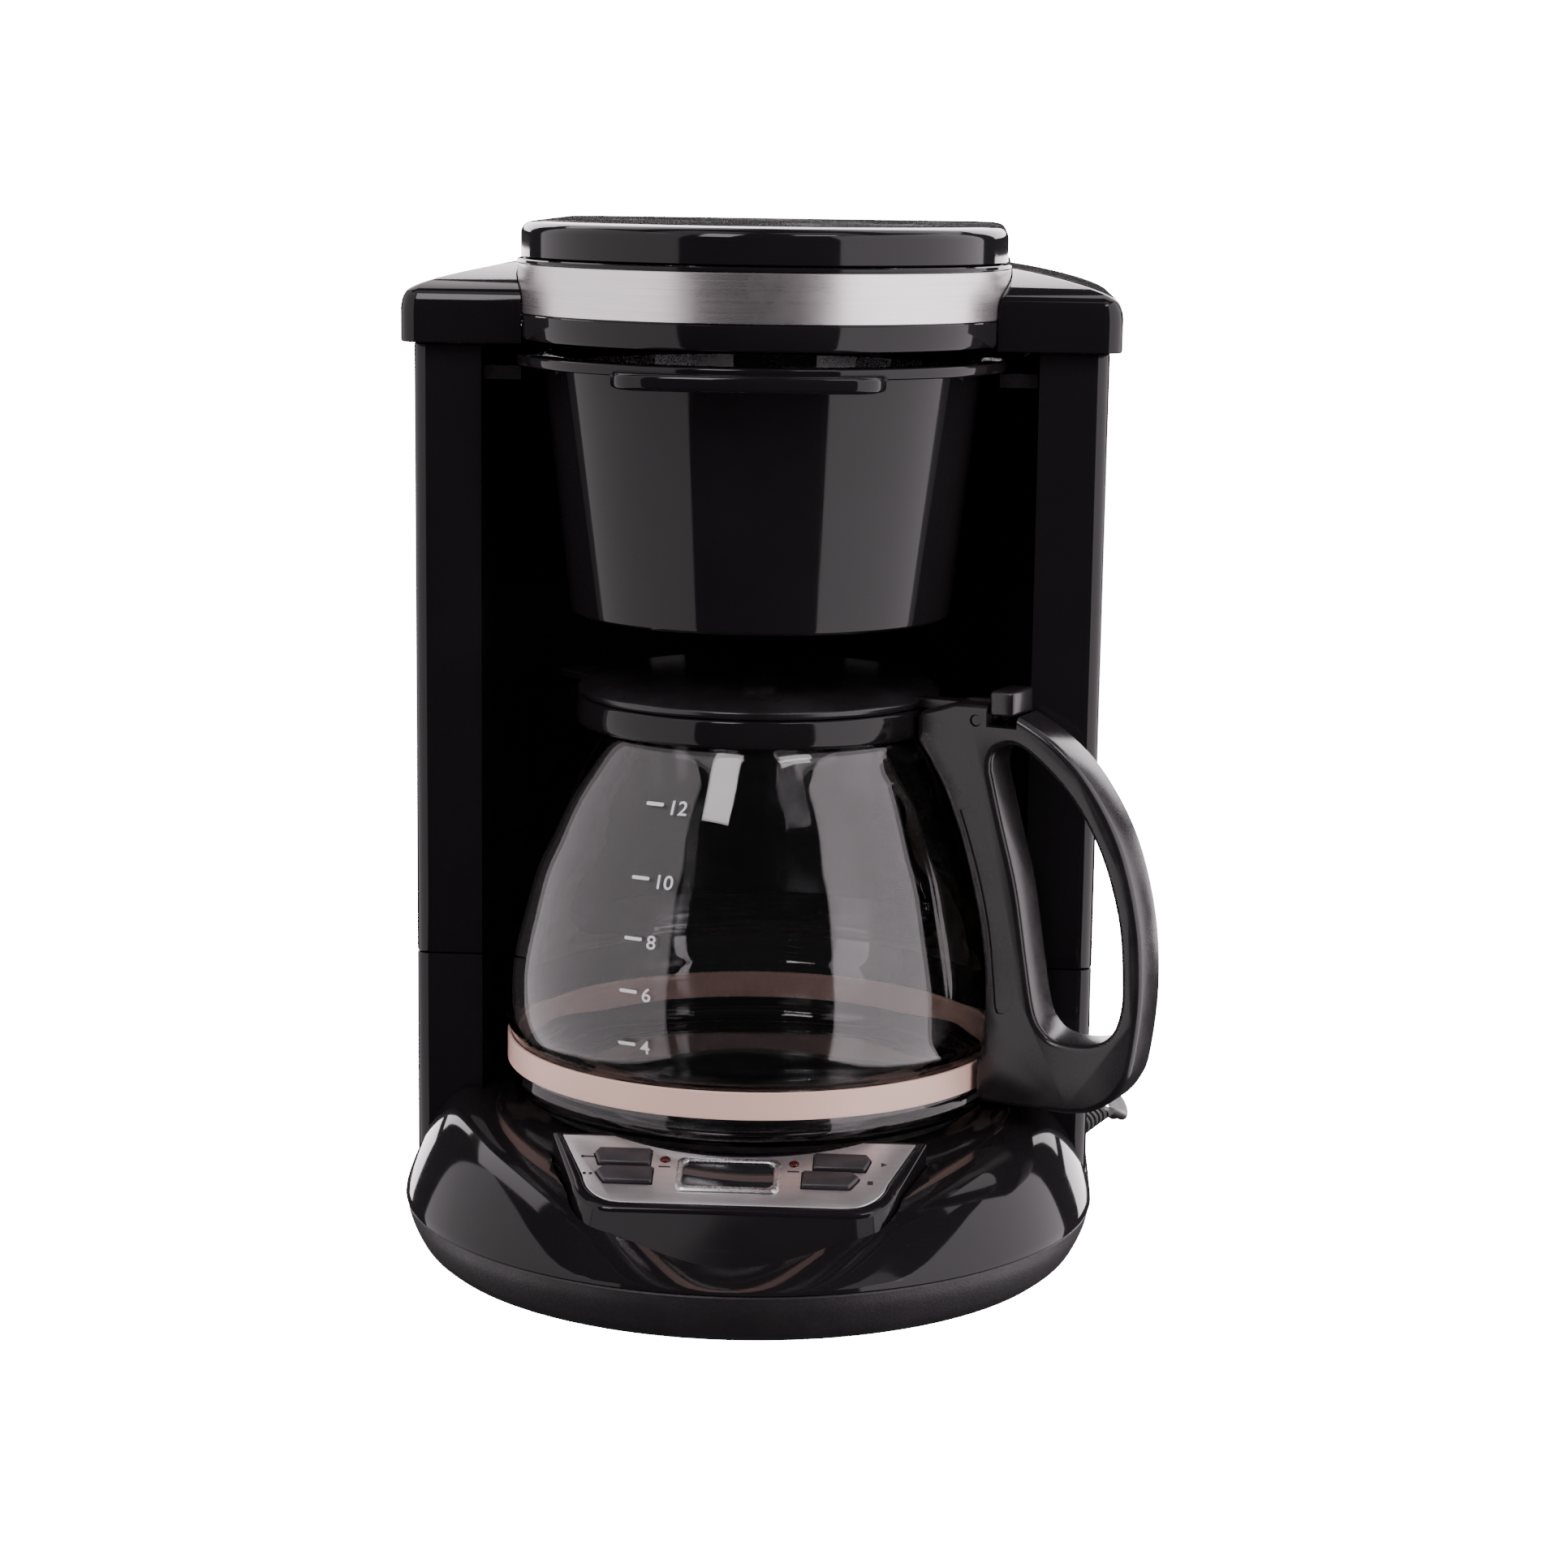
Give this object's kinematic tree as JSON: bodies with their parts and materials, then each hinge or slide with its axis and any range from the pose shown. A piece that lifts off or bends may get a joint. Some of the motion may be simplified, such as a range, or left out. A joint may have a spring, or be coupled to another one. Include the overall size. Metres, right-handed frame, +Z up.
{
  "type": "drip coffee maker",
  "caption": "Drip coffee maker with a rear water tower, hinged top lid, pull-out brew basket, glass carafe on a warming plate and a push-button timer panel.",
  "frame": {"origin": "middle of the footprint of the appliance without its cord, on the table that its feet stand on", "axes": "+Z up, +Y to the rear where the water tower is, +X to the right as seen from the front, the side the carafe handle is on"},
  "size_m": [0.2284, 0.3431, 0.309],
  "materials": {
    "gloss_black": "moulded, high gloss",
    "satin_black": "moulded, satin",
    "matte_black": "moulded, fine matte texture",
    "brushed_steel": "brushed along its length",
    "carafe_glass": "clear blown glass",
    "rose_band": "satin rose beige",
    "dark_display": "smoked clear window",
    "button_grey": "satin charcoal",
    "led_red": "tinted clear lens",
    "silicone": "translucent silicone",
    "rubber": "matte",
    "aluminium": "as extruded",
    "plate_black": "non-stick coating",
    "steel": "bright",
    "tank_plastic": "translucent polypropylene",
    "board_green": "circuit board",
    "cord_black": "soft PVC"
  },
  "bodies": {
    "housing": {"control_pod": "gloss_black", "base_deck": "gloss_black", "lower_housing": "gloss_black", "upper_housing": "gloss_black", "top_cover": "gloss_black", "head_body": "gloss_black", "shower_head": "satin_black", "basket_rail_left": "satin_black", "basket_rail_right": "satin_black", "base_skirt": "matte_black", "bottom_cover": "matte_black", "head_band": "brushed_steel", "control_panel": "brushed_steel", "display_window": "dark_display", "led_auto": "led_red", "led_on": "led_red", "check_valve": "silicone", "inlet_hose": "silicone", "outlet_hose": "silicone", "foot_1": "rubber", "foot_2": "rubber", "foot_3": "rubber", "foot_4": "rubber", "plate_gasket": "rubber", "strain_relief": "rubber", "heater_element": "aluminium", "heater_water_tube": "aluminium", "thermostat": "aluminium", "warming_plate": "plate_black", "base_screw_1": "steel", "base_screw_2": "steel", "base_screw_3": "steel", "base_screw_4": "steel", "lid_hinge_pin": "steel", "thermal_fuse": "steel", "water_tank": "tank_plastic", "riser_tube": "tank_plastic", "control_board": "board_green", "display_module": "board_green", "cord": "cord_black", "cord_coil": "cord_black", "plug": "cord_black"},
    "lid": {"lid": "gloss_black"},
    "basket": {"brew_basket": "gloss_black", "filter_insert": "steel", "valve_spring": "steel"},
    "valve": {"drip_valve": "silicone", "valve_seal": "rubber"},
    "carafe": {"carafe_glass": "carafe_glass", "carafe_collar": "satin_black", "carafe_handle": "satin_black", "carafe_band": "rose_band", "handle_screw": "steel", "carafe_lid_pin": "steel"},
    "carafe_lid": {"carafe_lid": "satin_black"},
    "hour_button": {"button_hour": "button_grey"},
    "minute_button": {"button_minute": "button_grey"},
    "program_button": {"button_program": "button_grey"},
    "set_button": {"button_set": "button_grey"}
  },
  "joints": [
    {"name": "lid_hinge", "type": "hinge", "parent": "housing", "child": "lid", "pos_m": [-0.00764, 0.09325, 0.303], "axis": [-1, 0, 0], "range_deg": [0, 88]},
    {"name": "basket_slide", "type": "slide", "parent": "housing", "child": "basket", "axis": [0, -1, 0], "range_m": [0, 0.12]},
    {"name": "carafe_slide", "type": "slide", "parent": "housing", "child": "carafe", "axis": [0, -0.9848, 0.1736], "range_m": [0, 0.26]},
    {"name": "valve_drop", "type": "slide", "parent": "basket", "child": "valve", "axis": [0, 0, 1], "range_m": [-0.0036, 0], "deforming": ["valve_spring"]},
    {"name": "carafe_lid_hinge", "type": "hinge", "parent": "carafe", "child": "carafe_lid", "pos_m": [0.0614, -0.02806, 0.167], "axis": [0.3907, 0.9205, 0], "range_deg": [0, 7]},
    {"name": "hour_press", "type": "slide", "parent": "housing", "child": "hour_button", "axis": [0, 0.4067, -0.9135], "range_m": [0, 0.0009], "stiffness_N_per_m": 400},
    {"name": "minute_press", "type": "slide", "parent": "housing", "child": "minute_button", "axis": [0, 0.4067, -0.9135], "range_m": [0, 0.0009], "stiffness_N_per_m": 400},
    {"name": "program_press", "type": "slide", "parent": "housing", "child": "program_button", "axis": [0, 0.4067, -0.9135], "range_m": [0, 0.0009], "stiffness_N_per_m": 400},
    {"name": "set_press", "type": "slide", "parent": "housing", "child": "set_button", "axis": [0, 0.4067, -0.9135], "range_m": [0, 0.0009], "stiffness_N_per_m": 400}
  ],
  "couplings": [
    {"joint": "valve_drop", "follows": "carafe_slide", "ratio": -0.0138}
  ]
}
